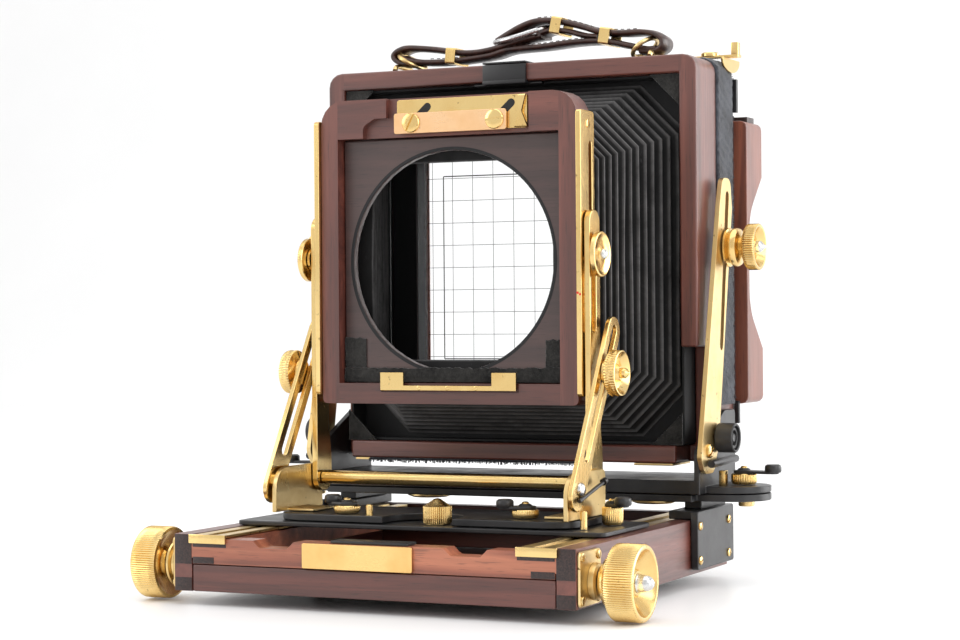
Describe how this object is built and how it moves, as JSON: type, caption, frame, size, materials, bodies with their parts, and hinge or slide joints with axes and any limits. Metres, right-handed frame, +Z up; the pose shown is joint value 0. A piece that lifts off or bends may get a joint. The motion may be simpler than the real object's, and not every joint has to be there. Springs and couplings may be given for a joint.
{
  "type": "large format view camera",
  "caption": "Wooden folding field camera standing open on its bed, with a bellows between a lens standard and a ground-glass back.",
  "frame": {"origin": "under the middle of the camera's overall box, on the surface that its tripod plate stands on", "axes": "+Z up, +Y from the lens towards the back, +X to the right seen from the front"},
  "size_m": [0.2298, 0.1958, 0.2381],
  "materials": {
    "rosewood": "satin oiled, dark red-brown",
    "red_rosewood": "satin oiled, redder",
    "brass": "polished, lacquered",
    "rose_brass": "polished, pinker",
    "black_metal": "satin black",
    "bellows_leather": "matt black",
    "hook_loop": "fuzzy black",
    "felt": "matt black felt",
    "handle_leather": "dark brown, waxed",
    "steel": "bright screw heads",
    "ground_glass": "ground"
  },
  "bodies": {
    "bed": {"bed_side_left": "rosewood", "bed_side_right": "rosewood", "bed_front_rail": "rosewood", "bed_rear_rail": "rosewood", "bed_floor": "rosewood", "tripod_plate": "black_metal", "side_plate_left": "black_metal", "side_plate_right": "black_metal", "rear_base_plate": "black_metal"},
    "focus_drive": {"focus_shaft": "brass", "focus_knob_left": "brass", "focus_knob_right": "brass"},
    "extension": {"extension_frame": "red_rosewood", "track_left": "brass", "track_right": "brass", "rack_left": "brass", "rack_right": "brass", "name_plate": "brass"},
    "carriage": {"front_base_plate": "black_metal"},
    "carriage_lever": {"carriage_lever": "black_metal"},
    "swing_lock_knob": {"swing_lock_knob": "brass"},
    "front_swing": {"front_swing_plate": "black_metal", "front_bracket_left": "brass", "front_bracket_right": "brass"},
    "swing_lever_left": {"swing_lever_left": "black_metal"},
    "swing_lever_right": {"swing_lever_right": "black_metal"},
    "uprights": {"front_upright_left": "brass", "front_upright_right": "brass", "front_cross_axle": "brass"},
    "front_struts": {"front_strut_left": "brass", "front_strut_right": "brass"},
    "strut_knob_left": {"strut_knob_left": "brass"},
    "strut_knob_right": {"strut_knob_right": "brass"},
    "lens_carrier": {"tilt_stud_left": "brass", "tilt_stud_right": "brass"},
    "tilt_knob_left": {"tilt_knob_left": "brass"},
    "tilt_knob_right": {"tilt_knob_right": "brass"},
    "lens_frame": {"lens_frame": "rosewood", "lens_panel": "rosewood", "side_strip_left": "brass", "side_strip_right": "brass", "board_rest": "brass", "lock_cover": "rose_brass"},
    "lock_slide": {"lock_slide": "brass"},
    "rear_yoke": {"rear_yoke": "black_metal"},
    "rear_lever_left": {"rear_lever_left": "black_metal"},
    "rear_lever_right": {"rear_lever_right": "black_metal"},
    "rear_struts": {"rear_strut_left": "brass", "rear_strut_right": "brass"},
    "rear_pivot_knob_left": {"rear_pivot_knob_left": "black_metal"},
    "rear_pivot_knob_right": {"rear_pivot_knob_right": "black_metal"},
    "rear_frame": {"rear_frame": "rosewood", "carrying_handle": "handle_leather", "bellows": "bellows_leather"},
    "rear_strut_knob_left": {"rear_strut_knob_left": "brass"},
    "rear_strut_knob_right": {"rear_strut_knob_right": "brass"},
    "back_latch": {"back_latch": "brass"},
    "back": {"back_frame": "rosewood"},
    "film_frame": {"ground_glass_frame": "rosewood", "ground_glass": "ground_glass"}
  },
  "joints": [
    {"name": "focus_slide", "type": "slide", "parent": "bed", "child": "extension", "axis": [0, -1, 0], "range_m": [0, 0.09], "deforming": ["bellows"]},
    {"name": "focus_knob_turn", "type": "hinge", "parent": "bed", "child": "focus_drive", "pos_m": [0, -0.08275, 0.0145], "axis": [1, 0, 0], "continuous": true},
    {"name": "front_slide", "type": "slide", "parent": "extension", "child": "carriage", "axis": [0, -1, 0], "range_m": [-0.01, 0.03]},
    {"name": "carriage_lever_turn", "type": "hinge", "parent": "carriage", "child": "carriage_lever", "pos_m": [0.0704, -0.02875, 0.0297], "axis": [0, 0, 1], "range_deg": [-45, 0]},
    {"name": "swing_lock_turn", "type": "hinge", "parent": "carriage", "child": "swing_lock_knob", "pos_m": [0.0055, -0.04875, 0.0297], "axis": [0, 0, 1], "range_deg": [0, 270]},
    {"name": "front_swing", "type": "hinge", "parent": "carriage", "child": "front_swing", "pos_m": [0, -0.03375, 0.0297], "axis": [0, 0, 1], "range_deg": [-12, 12]},
    {"name": "swing_lever_left_turn", "type": "hinge", "parent": "front_swing", "child": "swing_lever_left", "pos_m": [-0.0343, -0.04835, 0.0328], "axis": [0, 0, 1], "range_deg": [0, 45]},
    {"name": "swing_lever_right_turn", "type": "hinge", "parent": "front_swing", "child": "swing_lever_right", "pos_m": [0.041, -0.04475, 0.0328], "axis": [0, 0, 1], "range_deg": [-45, 0]},
    {"name": "front_tilt_base", "type": "hinge", "parent": "front_swing", "child": "uprights", "pos_m": [0, -0.02275, 0.0448], "axis": [1, 0, 0], "range_deg": [-8, 25]},
    {"name": "front_strut_turn", "type": "hinge", "parent": "front_swing", "child": "front_struts", "pos_m": [0, -0.05175, 0.0448], "axis": [1, 0, 0], "range_deg": [-6.41, 18.98]},
    {"name": "front_rise", "type": "slide", "parent": "uprights", "child": "lens_carrier", "axis": [0, 0, 1], "range_m": [-0.016, 0]},
    {"name": "front_tilt_axis", "type": "hinge", "parent": "lens_carrier", "child": "lens_frame", "pos_m": [0, -0.02375, 0.1335], "axis": [1, 0, 0], "range_deg": [-15, 15]},
    {"name": "lock_slide_move", "type": "slide", "parent": "lens_frame", "child": "lock_slide", "axis": [-0.866, 0, 0.5], "range_m": [0, 0.0045]},
    {"name": "rear_swing", "type": "hinge", "parent": "bed", "child": "rear_yoke", "pos_m": [0, 0.04575, 0.0377], "axis": [0, 0, 1], "range_deg": [-10, 10]},
    {"name": "rear_tilt", "type": "hinge", "parent": "rear_yoke", "child": "rear_frame", "pos_m": [0, 0.03725, 0.06], "axis": [1, 0, 0], "range_deg": [-9, 12]},
    {"name": "rear_strut_turn", "type": "hinge", "parent": "rear_yoke", "child": "rear_struts", "pos_m": [0, 0.02675, 0.0552], "axis": [1, 0, 0], "range_deg": [-8.72, 11.46]},
    {"name": "back_latch_turn", "type": "hinge", "parent": "rear_frame", "child": "back_latch", "pos_m": [0.077, 0.06925, 0.2174], "axis": [0, 0, 1], "range_deg": [0, 90]},
    {"name": "back_release", "type": "slide", "parent": "rear_frame", "child": "back", "axis": [0, 1, 0], "range_m": [0, 0.03]},
    {"name": "film_frame_slide", "type": "slide", "parent": "back", "child": "film_frame", "axis": [0, 1, 0], "range_m": [0, 0.012], "stiffness_N_per_m": 400, "springref_m": -0.01},
    {"name": "strut_knob_left_turn", "type": "hinge", "parent": "uprights", "child": "strut_knob_left", "pos_m": [-0.0667, -0.02525, 0.0877], "axis": [1, 0, 0], "range_deg": [-270, 0]},
    {"name": "tilt_knob_left_turn", "type": "hinge", "parent": "lens_carrier", "child": "tilt_knob_left", "pos_m": [-0.063, -0.02375, 0.1335], "axis": [1, 0, 0], "range_deg": [-270, 0]},
    {"name": "rear_strut_knob_left_turn", "type": "hinge", "parent": "rear_frame", "child": "rear_strut_knob_left", "pos_m": [-0.0904, 0.05125, 0.1375], "axis": [1, 0, 0], "range_deg": [-270, 0]},
    {"name": "rear_pivot_knob_left_turn", "type": "hinge", "parent": "rear_yoke", "child": "rear_pivot_knob_left", "pos_m": [-0.0904, 0.03725, 0.06], "axis": [1, 0, 0], "range_deg": [-270, 0]},
    {"name": "rear_lever_left_turn", "type": "hinge", "parent": "bed", "child": "rear_lever_left", "pos_m": [-0.0985, 0.04525, 0.0408], "axis": [0, 0, 1], "range_deg": [0, 45]},
    {"name": "strut_knob_right_turn", "type": "hinge", "parent": "uprights", "child": "strut_knob_right", "pos_m": [0.0667, -0.02525, 0.0877], "axis": [1, 0, 0], "range_deg": [0, 270]},
    {"name": "tilt_knob_right_turn", "type": "hinge", "parent": "lens_carrier", "child": "tilt_knob_right", "pos_m": [0.063, -0.02375, 0.1335], "axis": [1, 0, 0], "range_deg": [0, 270]},
    {"name": "rear_strut_knob_right_turn", "type": "hinge", "parent": "rear_frame", "child": "rear_strut_knob_right", "pos_m": [0.0904, 0.05125, 0.1375], "axis": [1, 0, 0], "range_deg": [0, 270]},
    {"name": "rear_pivot_knob_right_turn", "type": "hinge", "parent": "rear_yoke", "child": "rear_pivot_knob_right", "pos_m": [0.0904, 0.03725, 0.06], "axis": [1, 0, 0], "range_deg": [0, 270]},
    {"name": "rear_lever_right_turn", "type": "hinge", "parent": "bed", "child": "rear_lever_right", "pos_m": [0.0985, 0.04525, 0.0408], "axis": [0, 0, 1], "range_deg": [-45, 0]}
  ],
  "couplings": [
    {"joint": "focus_knob_turn", "follows": "focus_slide", "rad_per_m": 298.51},
    {"joint": "front_strut_turn", "follows": "front_tilt_base", "ratio": 0.739},
    {"joint": "rear_strut_turn", "follows": "rear_tilt", "ratio": 0.913}
  ]
}
